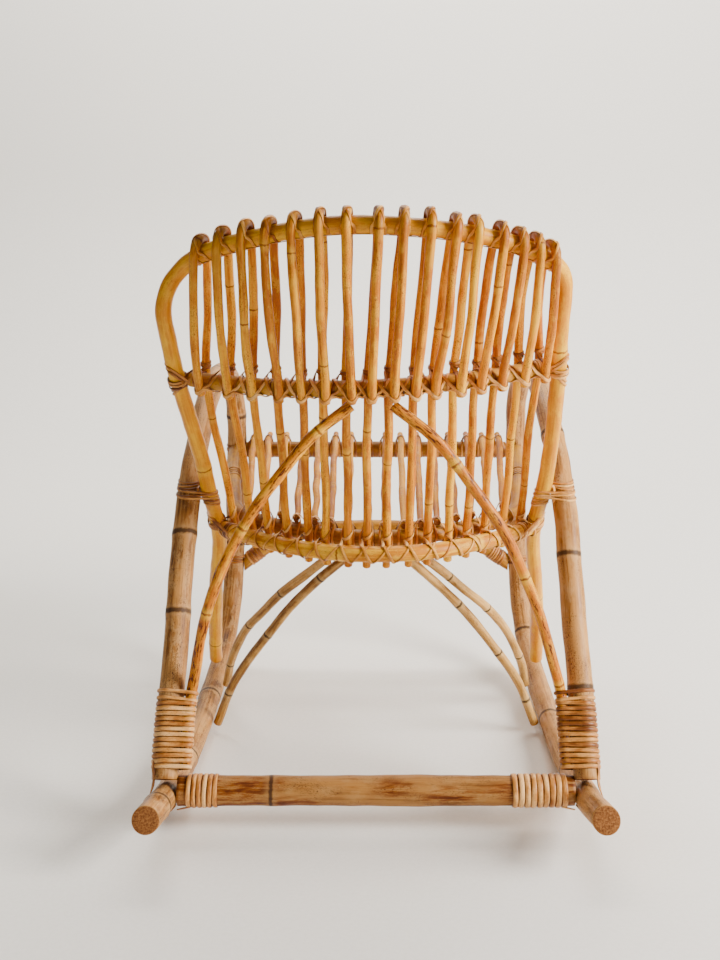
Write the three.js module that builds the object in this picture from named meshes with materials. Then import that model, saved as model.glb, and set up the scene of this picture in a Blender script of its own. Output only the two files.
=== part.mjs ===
// Rocking chair of bent rattan poles: two side hoops that are runner, front post, arm and rear post in one,
// a hooped back whose ends run down to the runners, hairpin rods over the back, and a seat of straight rods.
import * as THREE from 'three';

// ---- driving dimensions, in millimetres ---------------------------------------------------------------

// Pole and rod diameters.
const HOOP = 33;
const CROSSBAR = 37;
const BACK_POLE = 21;
const SEAT_POLE = 22;
const FRONT_RAIL = 27;
const STRETCHER = 25;
const REAR_BRACE = 14;
const SEAT_BRACE = 13;
const BACK_ROD = 11.2;
const SEAT_ROD = 10.6;
const PEEL = 2.6;
const CLEARANCE = 0.5;

// Runners: a long arc, flatter ahead, that touches the floor under the chair's centre of mass.
const RUNNER_RADIUS = { rear: 1150, front: 1700 };
const FLOOR_CONTACT = 370;

// Rear crossbar, butted between the runners.
const CROSSBAR_FORWARD = 122;
const CROSSBAR_HEIGHT = 51;
const CROSSBAR_HALF = 250;

// Back. The hand-bent hoop leans to one side above the arms and comes partly upright again at its shoulders.
const BACK_LEAN = { most: 17, start: 440, end: 640, shoulder: 665, crown: 708, returned: 11 };
const BACK_TOP = 763;
const CROWN_FROM = 700;
const MID_RAIL = { half: 228, centre: 127, bow: 92, height: 565, tilt: 8, lift: 6 };
const LOWER_RAIL = { half: 216, centre: 219, bow: 129, height: 330, tilt: 0, lift: 0 };
const RAIL_STEPS = 8;

// Seat.
const SEAT_FRAME_HEIGHT = 342;
const FRONT_RAIL_HEIGHT = 370;
const FRONT_RAIL_FORWARD = 719;
const FRONT_RAIL_HALF = 223;
const STRETCHER_HALF = 222;
const STRETCHER_CROWN = 232;
const STRETCHER_DROP = 57;
const STRETCHER_BEND = 3.5;
const STRETCHER_STEPS = 10;

// Rods. A spread says where the rods lie side by side: evenly, with a cubic share that crowds or opens the
// outer ones, a middle that is set off by hand, outer ones set off otherwise, and a small stray per rod.
const RODS = 16;
const CROWN_SPREAD = { even: 232, cubic: -20, middle: -16, outer: 16, stray: 1.5, phase: 0.5 };
const FRONT_MID_SPREAD = { even: 203, cubic: 12, middle: -4, outer: 9, stray: 1.6, phase: 1.7 };
const REAR_MID_SPREAD = { even: 200, cubic: 21, middle: -9, outer: 12, stray: 1.6, phase: 3.1 };
const LOWER_SPREAD = { even: 203, cubic: 0, middle: -2, outer: 0, stray: 1.4, phase: 2.2 };
const SEAT_FRONT_SPREAD = { even: 211, cubic: 0, middle: 0, outer: 0, stray: 1.5, phase: 4.4 };
const SEAT_REAR_SPREAD = { even: 181, cubic: 0, middle: 0, outer: 0, stray: 1.5, phase: 0.9 };
const WANDER = { slow: 2.4, fast: 5.1, fastShare: 0.6 };

// Hairpins: how far past the rails their ends run, and how freely they pass the poles, in shares of touching.
const HAIRPIN_STEPS = 8;
const HAIRPIN_TIP = { front: 34, rear: 17 };
const HAIRPIN_REACH = { front: 1.11, rear: 1.09, crown: 1.07, between: 0.95 };
const HAIRPIN_RISE = 7;
const HAIRPIN_TWIST = 0.5;

// Seat rods: how far their ends run past the poles they lie on, and how uneven they lie.
const SEAT_ROD_TAIL = { past: 9, drop: 0.5, lift: 1 };
const SEAT_ROD_TIP = { past: 26, stray: 3, phase: 1.2, rise: 2.5 };
const SEAT_ROD_SAG = { rise: 2, stray: 2, phase: 2.8 };

// The right rear brace is bent a little closer in than the left one.
const REAR_BRACE_TUCK = { by: 10, from: 160, to: 300 };

// Sleeves of wound cane.
const FOOT_BINDING = { post: [266.4, 151, 117], brace: [240.4, 145.5, 120], axis: [0, 38, 67] };
const FOOT_BINDING_WIDTH = 84;
const FOOT_BINDING_SLACK = 2.4;
const CROSSBAR_BINDINGS = [
  ['left', 199, 239],
  ['right', -171, -241],
];
const CROSSBAR_BINDING_SLACK = 1;

// Faceting: sections by pole size, and how far apart the rings of a swept pole may be.
const POLE_SIDES = 12;
const ROD_SIDES = 8;
const RING_TURN = THREE.MathUtils.degToRad(13);
const RING_REACH = 75;
const ROUTE_SAMPLES = 400;
const BINDING_SEGMENTS = 8;

// ---- helpers ------------------------------------------------------------------------------------------

// A place: sideways from the centre plane, ahead of the runners' rear ends, and above the floor.
const at = (side, forward, height) => new THREE.Vector3(side, -forward, height);

function backLean(height) {
  const { most, start, end, shoulder, crown, returned } = BACK_LEAN;
  const leaned = most * THREE.MathUtils.clamp((height - start) / (end - start), 0, 1);
  return leaned - returned * THREE.MathUtils.smoothstep(height, shoulder, crown);
}

const finish = (color, roughness) => new THREE.MeshStandardMaterial({ color, roughness, metalness: 0 });

const weathered = finish(0xa9713f, 0.62);
const golden = finish(0xd79a35, 0.45);
const honey = finish(0xc9822f, 0.5);
const spotted = finish(0xc98a2e, 0.5);
const peel = finish(0xb98552, 0.7);

const chair = new THREE.Group();

function add(name, geometry, material) {
  const mesh = new THREE.Mesh(geometry, material);
  mesh.name = name;
  chair.add(mesh);
  return mesh;
}

// A path that is swept ring by ring at its own stations, so straight stretches take few rings and bends many.
class StationPath extends THREE.Curve {
  constructor(stations) {
    super();
    this.stations = stations;
  }

  getPoint(t, target = new THREE.Vector3()) {
    const place = t * (this.stations.length - 1);
    const index = Math.min(Math.floor(place), this.stations.length - 2);
    return target.lerpVectors(this.stations[index], this.stations[index + 1], place - index);
  }

  getPointAt(t, target) {
    return this.getPoint(t, target);
  }

  getTangentAt(t, target = new THREE.Vector3()) {
    const last = this.stations.length - 1;
    const index = Math.round(t * last);
    const before = this.stations[Math.max(index - 1, 0)];
    const after = this.stations[Math.min(index + 1, last)];
    return target.subVectors(after, before).normalize();
  }
}

// Stations along a smooth curve through the given points: a new ring for each small turn or long reach.
function stationsAlong(points) {
  const samples = new THREE.CatmullRomCurve3(points, false, 'centripetal').getSpacedPoints(ROUTE_SAMPLES);
  const heading = (i) => samples[i + 1].clone().sub(samples[i]).normalize();
  const stations = [samples[0]];
  let ringHeading = heading(0);
  for (let i = 1; i < ROUTE_SAMPLES; i += 1) {
    const turned = heading(i).angleTo(ringHeading) > RING_TURN;
    const far = samples[i].distanceTo(stations.at(-1)) > RING_REACH;
    if (turned || far) {
      stations.push(samples[i]);
      ringHeading = heading(i);
    }
  }
  stations.push(samples[ROUTE_SAMPLES]);
  return stations;
}

function roundSection(diameter, sides) {
  const corners = [];
  for (let i = 0; i < sides; i += 1) {
    const angle = (2 * Math.PI * i) / sides;
    corners.push(new THREE.Vector2(Math.cos(angle), Math.sin(angle)).multiplyScalar(diameter / 2));
  }
  return new THREE.Shape(corners);
}

function sweep(name, stations, diameter, sides, material) {
  const geometry = new THREE.ExtrudeGeometry(roundSection(diameter, sides), {
    steps: stations.length - 1,
    extrudePath: new StationPath(stations),
    bevelEnabled: false,
  });
  return add(name, geometry, material);
}

const pole = (name, points, diameter, material) =>
  sweep(name, stationsAlong(points), diameter, POLE_SIDES, material);

const rod = (name, stations, diameter, material) => sweep(name, stations, diameter, ROD_SIDES, material);

const SIDES = [
  ['left', 1],
  ['right', -1],
];

// A place given for the sitter's left, put on one side or the other, and a whole route of them.
const placed = ([x, forward, height], side) => at(side * x, forward, height);
const mirrored = (points, side) => points.map((point) => placed(point, side));

// ---- side hoops ---------------------------------------------------------------------------------------

function runnerHeight(forward) {
  const radius = forward < FLOOR_CONTACT ? RUNNER_RADIUS.rear : RUNNER_RADIUS.front;
  return HOOP / 2 + (forward - FLOOR_CONTACT) ** 2 / (2 * radius);
}

const RUNNER = [
  [268, 0],
  [266.8, 110],
  [265.6, 220],
  [264, 330],
  [262, 440],
  [260, 530],
].map(([x, forward]) => [x, forward, runnerHeight(forward)]);

const HOOP_ROUTE = [
  ...RUNNER,
  [257, 600, 38],
  [253, 662, 68],
  [249, 704, 122],
  [246, 719, 200],
  [243, 723, 300],
  [240.5, 724, 390],
  [240.5, 715, 448],
  [243, 686, 490],
  [246, 640, 512],
  [248.5, 585, 521],
  [251, 520, 514],
  [254, 445, 485],
  [257.5, 380, 442],
  [260.5, 325, 393],
  [262, 282, 338],
  [263, 243, 275],
  [264, 205, 208],
  [266, 163, 138],
  [267, 122, 65.6],
];

for (const [label, side] of SIDES) {
  pole(`side_hoop_${label}`, mirrored(HOOP_ROUTE, side), HOOP, weathered);
}

sweep(
  'rear_crossbar',
  [-CROSSBAR_HALF, CROSSBAR_HALF].map((x) => at(x, CROSSBAR_FORWARD, CROSSBAR_HEIGHT)),
  CROSSBAR,
  POLE_SIDES,
  weathered,
);

// ---- back ---------------------------------------------------------------------------------------------

// From the foot on the runner, past the seat and the arm, up to the shoulder.
const BACK_SIDE = [
  [260, 559.5, 58],
  [256, 528, 103],
  [248.5, 478, 170],
  [238, 425, 240],
  [228, 388, 297],
  [228, 352, 345],
  [231.5, 314, 393],
  [237, 286, 448],
  [241, 258, 496],
  [244.5, 224, 551],
  [247.5, 196, 604],
  [249, 178, 656],
  [245, 172, 688],
  [233, 163, 708],
  [215, 150, 721],
  [186, 128, 734],
  [147, 105, 746],
];
const BACK_CROWN = [
  [95, 83, 756],
  [48, 72, 762],
  [0, 68, BACK_TOP],
  [-48, 72, 762],
  [-95, 83, 756],
];

const backSide = (side) => mirrored(BACK_SIDE, side);
const backRoute = [...backSide(1), ...mirrored(BACK_CROWN, 1), ...backSide(-1).reverse()];
for (const point of backRoute) {
  point.x += backLean(point.z);
}
pole('back_hoop', backRoute, BACK_POLE, golden);

// The two bowed rails of the back are arcs that swell rearwards between the sides of the hoop.
function railPoint(rail, x) {
  const share = x / rail.half;
  const forward = rail.centre + rail.bow * share ** 2;
  const height = rail.height - rail.tilt * share + rail.lift * share ** 2;
  return at(x + backLean(rail.height), forward, height);
}

function railRoute(rail) {
  const points = [];
  for (let i = 0; i <= RAIL_STEPS; i += 1) {
    points.push(railPoint(rail, ((2 * i) / RAIL_STEPS - 1) * rail.half));
  }
  return points;
}

pole('back_mid_rail', railRoute(MID_RAIL), BACK_POLE, golden);
pole('back_lower_rail', railRoute(LOWER_RAIL), BACK_POLE, golden);

// ---- hairpin rods of the back ----------------------------------------------------------------------------

// The crown of the back hoop as a function of the sideways place, from the hoop's own route.
const crownCurve = new THREE.CatmullRomCurve3(backRoute, false, 'centripetal');
const crownSamples = crownCurve.getSpacedPoints(2 * ROUTE_SAMPLES).filter((p) => p.z > CROWN_FROM);

function crownAt(x) {
  let best = 1;
  for (let i = 1; i < crownSamples.length - 1; i += 1) {
    if (Math.abs(crownSamples[i].x - x) < Math.abs(crownSamples[best].x - x)) {
      best = i;
    }
  }
  const tangent = crownSamples[best + 1].clone().sub(crownSamples[best - 1]).normalize();
  return { point: crownSamples[best].clone(), tangent };
}

// A small regular wander keeps the hand-set rods from lying like machine work.
function wander(index, phase) {
  const slow = Math.sin(index * WANDER.slow + phase);
  return slow + WANDER.fastShare * Math.sin(index * WANDER.fast + 2 * phase);
}

// The sideways place of a rod, counted from the sitter's left, in a given spread.
function spreadAt({ even, cubic, middle, outer, stray, phase }, index) {
  const share = (2 * index) / (RODS - 1) - 1;
  return middle + outer * share ** 2 - even * share - cubic * share ** 3 + stray * wander(index, phase);
}

// A place ahead of the rail (or behind it, for a negative distance), level and square to the rail.
function besideRail(rail, side, distance) {
  const x = side - backLean(rail.height);
  const along = railPoint(rail, x + 1).sub(railPoint(rail, x - 1)).setZ(0).normalize();
  const offset = new THREE.Vector3(along.y, -along.x, 0).multiplyScalar(distance);
  return railPoint(rail, x - offset.x).add(offset);
}

function hairpin(index) {
  const touching = (BACK_POLE + BACK_ROD) / 2 + CLEARANCE;
  const lowX = spreadAt(LOWER_SPREAD, index);
  const crossing = besideRail(LOWER_RAIL, lowX, touching).add(at(0, 0, HAIRPIN_RISE));
  const frontX = spreadAt(FRONT_MID_SPREAD, index);
  const frontMid = besideRail(MID_RAIL, frontX, touching * HAIRPIN_REACH.front);
  const rearX = spreadAt(REAR_MID_SPREAD, index);
  const rearMid = besideRail(MID_RAIL, rearX, -touching * HAIRPIN_REACH.rear);
  const down = crossing.clone().sub(frontMid).normalize();
  const frontTip = crossing.clone().addScaledVector(down, HAIRPIN_TIP.front);
  const rearTip = rearMid.clone().addScaledVector(down, HAIRPIN_TIP.rear);

  const { point: crown, tangent } = crownAt(spreadAt(CROWN_SPREAD, index));
  const up = crown.clone().sub(frontMid).normalize();
  const out = new THREE.Vector3(HAIRPIN_TWIST * tangent.y * Math.sign(tangent.x), -1, 0);
  out.addScaledVector(up, -out.dot(up)).normalize();
  const slope = Math.sqrt(1 - tangent.dot(up) ** 2);
  const skew = Math.sqrt(1 - tangent.dot(out) ** 2);
  const bend = touching * HAIRPIN_REACH.crown;
  const bulge = touching * HAIRPIN_REACH.between;
  const stations = [frontTip, crossing, crossing.clone().lerp(frontMid, 0.5), frontMid];
  stations.push(frontMid.clone().lerp(crown, 0.5).addScaledVector(out, bulge));
  for (let i = 0; i <= HAIRPIN_STEPS; i += 1) {
    const angle = (Math.PI * i) / HAIRPIN_STEPS;
    const station = crown.clone().addScaledVector(out, (bend / skew) * Math.cos(angle));
    stations.push(station.addScaledVector(up, (bend / slope) * Math.sin(angle)));
  }
  stations.push(rearMid.clone().lerp(crown, 0.5).addScaledVector(out, -bulge));
  stations.push(rearMid, rearTip);
  return stations;
}

const twoDigits = (index) => String(index + 1).padStart(2, '0');

for (let index = 0; index < RODS; index += 1) {
  rod(`back_rod_${twoDigits(index)}`, hairpin(index), BACK_ROD, honey);
}

// ---- seat ---------------------------------------------------------------------------------------------

const SEAT_SIDE = [
  [241, 704.5, 370],
  [234, 630, 364],
  [226, 550, 359],
  [217, 480, 354],
  [214, 446, 350],
  [203, 395.5, 344.5],
  [165, 341, SEAT_FRAME_HEIGHT],
  [120, 303, SEAT_FRAME_HEIGHT],
  [60, 266, SEAT_FRAME_HEIGHT],
];
const SEAT_BACK = [0, 253, SEAT_FRAME_HEIGHT];
pole(
  'seat_frame',
  [...mirrored(SEAT_SIDE, 1), at(...SEAT_BACK), ...mirrored(SEAT_SIDE, -1).reverse()],
  SEAT_POLE,
  golden,
);

sweep(
  'seat_front_rail',
  [-FRONT_RAIL_HALF, FRONT_RAIL_HALF].map((x) => at(x, FRONT_RAIL_FORWARD, FRONT_RAIL_HEIGHT)),
  FRONT_RAIL,
  POLE_SIDES,
  golden,
);

// A bent stretcher between the front posts: nearly level in the middle, dropping towards its ends.
const stretcherRoute = [];
for (let i = 0; i <= STRETCHER_STEPS; i += 1) {
  const share = (2 * i) / STRETCHER_STEPS - 1;
  const height = STRETCHER_CROWN - STRETCHER_DROP * Math.abs(share) ** STRETCHER_BEND;
  stretcherRoute.push(at(share * STRETCHER_HALF, FRONT_RAIL_FORWARD, height));
}
pole('front_stretcher', stretcherRoute, STRETCHER, weathered);

// The rear end of a seat rod lies on the seat frame, a little past it.
function seatFrameForward(x) {
  const outline = [SEAT_BACK, ...SEAT_SIDE.toReversed()];
  const next = outline.findIndex(([side]) => side > Math.abs(x));
  const [x0, f0] = outline[next - 1];
  const [x1, f1] = outline[next];
  return f0 + ((f1 - f0) * (Math.abs(x) - x0)) / (x1 - x0);
}

function seatRod(index) {
  const frontX = spreadAt(SEAT_FRONT_SPREAD, index);
  const rearX = spreadAt(SEAT_REAR_SPREAD, index);
  const rearForward = seatFrameForward(rearX);
  const rearHeight = SEAT_FRAME_HEIGHT + (SEAT_POLE + SEAT_ROD) / 2 + CLEARANCE + SEAT_ROD_TAIL.lift;
  const frontHeight = FRONT_RAIL_HEIGHT + (FRONT_RAIL + SEAT_ROD) / 2 + CLEARANCE;
  const rear = at(rearX, rearForward, rearHeight);
  const front = at(frontX, FRONT_RAIL_FORWARD, frontHeight);
  const tail = at(rearX, rearForward - SEAT_ROD_TAIL.past, rearHeight - SEAT_ROD_TAIL.drop);
  const tipReach = SEAT_ROD_TIP.past + SEAT_ROD_TIP.stray * wander(index, SEAT_ROD_TIP.phase);
  const tip = at(frontX, FRONT_RAIL_FORWARD + tipReach, frontHeight + SEAT_ROD_TIP.rise);
  const sagRise = SEAT_ROD_SAG.rise - SEAT_ROD_SAG.stray * wander(index, SEAT_ROD_SAG.phase);
  const middle = rear.clone().lerp(front, 0.5).add(at(0, 0, sagRise));
  return [tail, rear, middle, front, tip];
}

for (let index = 0; index < RODS; index += 1) {
  rod(`seat_rod_${twoDigits(index)}`, seatRod(index), SEAT_ROD, honey);
}

// ---- braces -------------------------------------------------------------------------------------------

const REAR_BRACE_ROUTE = [
  [31, 129, 543],
  [50, 127, 530],
  [82, 126, 502],
  [116, 126, 461],
  [146, 127, 417],
  [173, 130, 376],
  [190, 133, 342],
  [204, 137, 305],
  [215, 142, 268],
  [224, 150, 234],
  [232, 160, 198],
  [238, 167, 163],
  [240, 153, 136],
  [241, 133, 100],
  [241.5, 124, 84],
];
const OUTER_BRACE_ROUTE = [
  [236.5, 507, 35],
  [228, 480, 73],
  [212, 446, 120],
  [186, 408, 171],
  [158, 376, 206],
  [128, 345, 241],
  [82, 302, 290],
  [62, 284, 309],
];
const INNER_BRACE_ROUTE = [
  [238, 405, 15],
  [229, 400, 42],
  [210, 389, 86],
  [190, 378, 122],
  [156, 360, 168],
  [126, 338, 213],
  [83, 312, 264],
  [53, 290, 296],
  [33, 276, 316],
];

for (const [label, side] of SIDES) {
  const rearBrace = mirrored(REAR_BRACE_ROUTE, side);
  if (side < 0) {
    const { by, from, to } = REAR_BRACE_TUCK;
    for (const point of rearBrace) {
      point.x += by * THREE.MathUtils.smoothstep(point.z, from, to);
    }
  }
  pole(`rear_brace_${label}`, rearBrace, REAR_BRACE, spotted);
  pole(`seat_brace_outer_${label}`, mirrored(OUTER_BRACE_ROUTE, side), SEAT_BRACE, golden);
  pole(`seat_brace_inner_${label}`, mirrored(INNER_BRACE_ROUTE, side), SEAT_BRACE, golden);
}

// ---- bindings of split cane ---------------------------------------------------------------------------

// A sleeve of close turns round one pole, or round two poles lying side by side.
function binding(name, { from, to, width, firstDiameter, secondDiameter = firstDiameter, axis, slack }) {
  const apart = from.distanceTo(to);
  const outline = (path, grow) => {
    const first = firstDiameter / 2 + grow;
    const second = secondDiameter / 2 + grow;
    path.absarc(0, 0, first, Math.PI / 2, (3 * Math.PI) / 2, false);
    path.absarc(apart, 0, second, -Math.PI / 2, Math.PI / 2, false);
    return path;
  };
  const shape = outline(new THREE.Shape(), slack + PEEL);
  shape.holes.push(outline(new THREE.Path(), slack));
  const geometry = new THREE.ExtrudeGeometry(shape, {
    depth: width,
    bevelEnabled: false,
    curveSegments: BINDING_SEGMENTS,
  });
  geometry.translate(0, 0, -width / 2);
  const along = axis.clone().normalize();
  const across = to.clone().sub(from);
  if (apart === 0) {
    across.set(along.y, along.z, along.x);
  }
  across.addScaledVector(along, -across.dot(along)).normalize();
  const third = along.clone().cross(across);
  const turn = new THREE.Matrix4().makeBasis(across, third, along);
  const mesh = add(name, geometry, peel);
  mesh.quaternion.setFromRotationMatrix(turn);
  mesh.position.copy(from);
}

for (const [label, side] of SIDES) {
  binding(`foot_binding_${label}`, {
    from: placed(FOOT_BINDING.post, side),
    to: placed(FOOT_BINDING.brace, side),
    width: FOOT_BINDING_WIDTH,
    firstDiameter: HOOP,
    secondDiameter: REAR_BRACE,
    axis: placed(FOOT_BINDING.axis, side),
    slack: FOOT_BINDING_SLACK,
  });
}

for (const [label, inner, outer] of CROSSBAR_BINDINGS) {
  const middle = at((inner + outer) / 2, CROSSBAR_FORWARD, CROSSBAR_HEIGHT);
  binding(`crossbar_binding_${label}`, {
    from: middle,
    to: middle,
    width: Math.abs(outer - inner),
    firstDiameter: CROSSBAR,
    axis: at(1, 0, 0),
    slack: CROSSBAR_BINDING_SLACK,
  });
}

// ---- frame: origin on the floor under the middle of the chair -------------------------------------------

const box = new THREE.Box3().setFromObject(chair, true);
const middle = box.getCenter(new THREE.Vector3());
chair.position.set(-middle.x, -middle.y, -box.min.z);

export default chair;
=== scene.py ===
"""Looks of the rattan rocking chair: every pole and rod is rebuilt round the frame's own centrelines with its
growth rings, bark and sawn ends, and the joints get their lashings of split cane peel."""

import math
from functools import cached_property

import bpy
import numpy as np
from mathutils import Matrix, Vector
from numpy.linalg import norm


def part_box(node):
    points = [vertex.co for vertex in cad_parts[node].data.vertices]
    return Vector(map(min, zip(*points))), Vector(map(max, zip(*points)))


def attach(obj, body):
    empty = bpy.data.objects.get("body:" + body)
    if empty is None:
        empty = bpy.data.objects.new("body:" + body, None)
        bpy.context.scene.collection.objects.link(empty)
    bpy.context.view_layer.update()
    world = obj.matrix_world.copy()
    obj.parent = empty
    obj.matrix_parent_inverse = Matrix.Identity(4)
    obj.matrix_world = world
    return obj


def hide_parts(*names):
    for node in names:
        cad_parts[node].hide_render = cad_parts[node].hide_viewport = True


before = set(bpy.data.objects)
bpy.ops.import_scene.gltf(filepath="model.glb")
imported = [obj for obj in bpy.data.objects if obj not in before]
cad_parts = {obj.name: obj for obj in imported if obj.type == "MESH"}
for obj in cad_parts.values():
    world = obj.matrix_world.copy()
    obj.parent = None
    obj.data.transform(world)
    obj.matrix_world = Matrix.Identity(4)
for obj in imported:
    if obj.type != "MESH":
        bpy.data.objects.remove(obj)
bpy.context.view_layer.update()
MM = 0.001
UP, REAR = np.array([0.0, 0.0, 1.0]), np.array([0.0, 1.0, 0.0])
WIDEST_END = 45 * MM  # no sawn end of a pole is wider
FAR = 0.2  # stands for "no growth ring near here", in metres
# A sawn end is rounded by three rings: share of the pole's width, height over the cut.
END_RINGS = ((0.955, 0.25 * MM), (0.62, 0.32 * MM), (0.3, 0.2 * MM))
# Half round section of split cane: flat below, bowed above, as shares of its width and thickness.
CANE_SECTION = np.array([[-0.5, 0.0], [-0.48, 0.45], [-0.36, 0.8], [-0.13, 1.0], [0.13, 1.0], [0.36, 0.8],
                         [0.48, 0.45], [0.5, 0.0]])
CANE_STEP = 2.2 * MM
STRAP, TURN = 1.1, 1.3  # thickness of a strap of peel and of a turn of cane, in mm
CLOSE = 0.3  # gap in mm under a strap that lies close to its pole

# ---- reading the frame ----


def merged_mesh(node):
    """The node's corners with doubles merged, and its triangles."""
    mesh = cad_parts[node].data
    places = np.array([v.co for v in mesh.vertices], float)
    _, first, back = np.unique(np.round(places / (0.02 * MM)).astype(int), axis=0, return_index=True,
                               return_inverse=True)
    back = back.ravel()
    mesh.calc_loop_triangles()
    triangles = np.array([[back[i] for i in t.vertices] for t in mesh.loop_triangles])
    return places[first], triangles


def end_faces(points, triangles):
    """The sawn ends of a pole: flat faces with many corners and no more than a pole's width across."""
    a, b, c = points[triangles[:, 0]], points[triangles[:, 1]], points[triangles[:, 2]]
    normals = np.cross(b - a, c - a)
    normals /= norm(normals, axis=1)[:, None] + 1e-20
    offsets = np.einsum("ij,ij->i", normals, a)
    groups = {}
    for i, (normal, offset) in enumerate(zip(normals, offsets)):
        groups.setdefault((*np.round(normal, 2), round(offset, 4)), set()).update(triangles[i])
    found = []
    for members in groups.values():
        corners = sorted(members)
        if len(corners) >= 8 and np.ptp(points[corners], axis=0).max() < WIDEST_END:
            found.append(corners)
    return found


def centreline(node):
    """(centre of every ring of a swept node from its lower or right end, its radius)."""
    points, triangles = merged_mesh(node)
    ends = end_faces(points, triangles)
    start = min(ends, key=lambda e: tuple(np.round(points[e].mean(0)[[2, 0]], 4)))
    neighbours = [set() for _ in points]
    for a, b, c in triangles:
        neighbours[a] |= {b, c}
        neighbours[b] |= {a, c}
        neighbours[c] |= {a, b}
    seen = set(start)
    ring = list(start)
    centres = []
    while ring:
        centres.append(points[ring].mean(0))
        following = set().union(*(neighbours[i] for i in ring)) - seen
        seen |= following
        ring = sorted(following)
    radius = norm(points[start] - centres[0], axis=1).mean()
    if centres[-1][2] < centres[0][2] - 5 * MM:
        centres.reverse()
    return np.array(centres), radius


def smooth_line(centres, step):
    """The centres joined by a centripetal Catmull-Rom curve, in equal steps."""
    if len(centres) < 3:
        count = max(int(norm(centres[-1] - centres[0]) / step), 2)
        return np.linspace(centres[0], centres[-1], count + 1)
    p = np.vstack([2 * centres[0] - centres[1], centres, 2 * centres[-1] - centres[-2]])
    dense = []
    for i in range(1, len(p) - 2):
        knots = [0.0]
        for j in range(3):
            knots.append(knots[-1] + norm(p[i + j] - p[i + j - 1]) ** 0.5)
        t = np.linspace(knots[1], knots[2], 24, endpoint=False)[:, None]

        def between(low, high, a, b):
            return ((knots[high] - t) * a + (t - knots[low]) * b) / (knots[high] - knots[low])

        a1, a2, a3 = (between(j, j + 1, p[i + j - 1], p[i + j]) for j in range(3))
        dense.append(between(1, 2, between(0, 2, a1, a2), between(1, 3, a2, a3)))
    dense = np.vstack([*dense, centres[-1:]])
    return resampled(dense, step)


def arc_length(line):
    return np.concatenate([[0], np.cumsum(norm(np.diff(line, axis=0), axis=1))])


def read_off(at, reach, values):
    """The rows of values, which are given at the distances reach, at other distances."""
    return np.stack([np.interp(at, reach, values[:, k]) for k in range(values.shape[1])], axis=-1)


def resampled(points, step):
    reach = arc_length(points)
    count = max(int(round(reach[-1] / step)), 2)
    return read_off(np.linspace(0, reach[-1], count + 1), reach, points)


def unit(v):
    return v / (norm(v, axis=-1, keepdims=True) + 1e-20)


def frames_along(line):
    """Tangents and two cross directions that turn as little as they can along the line."""
    tangent = unit(np.gradient(line, axis=0))
    first = np.cross(tangent[0], [0.0, 0.0, 1.0])
    if norm(first) < 0.2:
        first = np.cross(tangent[0], [0.0, 1.0, 0.0])
    across = [unit(first)]
    for t in tangent[1:]:
        v = across[-1] - t * (across[-1] @ t)
        across.append(unit(v))
    across = np.array(across)
    return tangent, across, np.cross(tangent, across)


# ---- meshes ----


def slow_noise(places, rng, waves, lowest_wave, highest_wave):
    """A smooth wander with a size of about one, from a few sine waves of the given lengths in metres."""
    total = np.zeros_like(places)
    for _ in range(waves):
        length = rng.uniform(lowest_wave, highest_wave)
        total += np.sin(2 * np.pi * (places / length + rng.random()))
    return total / math.sqrt(waves)


def growth_rings(total, rng, spacing, wanted=()):
    """Places of the growth rings along a pole: the wanted ones, counted from its end if negative, and more a
    spacing apart."""
    wanted = [w if w > 0 else total + w for w in wanted]
    places = list(wanted)
    place = rng.uniform(0.25, 0.8) * spacing
    while place < total:
        if all(abs(place - w) > 0.6 * spacing for w in wanted):
            places.append(place)
        place += spacing * rng.uniform(0.75, 1.3)
    return np.array(sorted(places))


class Parts:
    """Collects vertices, faces, attributes and material numbers of one piece."""

    def __init__(self):
        self.rows, self.faces, self.numbers, self.count = [], [], [], 0

    def add(self, points, faces, numbers, bark, ring, tone, burn=0.0):
        values = (np.broadcast_to(value, len(points)) for value in (ring, tone, burn))
        self.rows.append(np.column_stack([points, bark, *values]))
        self.faces.extend([[i + self.count for i in f] for f in faces])
        self.numbers.extend(numbers)
        self.count += len(points)

    def build(self, name, materials, slot, replaces=()):
        mesh = bpy.data.meshes.new(name)
        rows = np.vstack(self.rows)
        mesh.from_pydata(rows[:, :3].tolist(), [], self.faces)
        for material in materials:
            mesh.materials.append(material)
        mesh.polygons.foreach_set("material_index", np.array(self.numbers, np.int32))
        mesh.polygons.foreach_set("use_smooth", np.ones(len(self.faces), bool))
        bark = mesh.attributes.new("bark", "FLOAT_VECTOR", "POINT")
        bark.data.foreach_set("vector", rows[:, 3:6].astype(np.float32).ravel())
        for key, values in zip(("ring", "tone", "burn"), rows[:, 6:].T):
            attribute = mesh.attributes.new(key, "FLOAT", "POINT")
            attribute.data.foreach_set("value", values.astype(np.float32))
        mesh.validate()
        mesh.update()
        piece = bpy.data.objects.new(name, mesh)
        bpy.context.scene.collection.objects.link(piece)
        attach(piece, "root")
        if replaces:
            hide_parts(*replaces)


def quads(ring, following, sides):
    """The faces between two rings of corners, each given by the number of its first corner."""
    turned = [*range(1, sides), 0]
    return [[ring + j, ring + k, following + k, following + j] for j, k in enumerate(turned)]


def swept(line, first, second, right, out):
    """A row of corners at each point of a line, so far along its two cross directions."""
    return line[:, None, :] + first[:, None, :] * right[..., None] + second[:, None, :] * out[..., None]


def bark_places(rng, places, first, second):
    """Where each corner lies on the bark: two numbers across it and one along it, and their random start."""
    start = rng.uniform(-20, 20, 3)
    across = np.stack([first, second, 0 * first], axis=-1)
    return across[None] + places[:, None, None] * [0, 0, 1] + start, start


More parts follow.
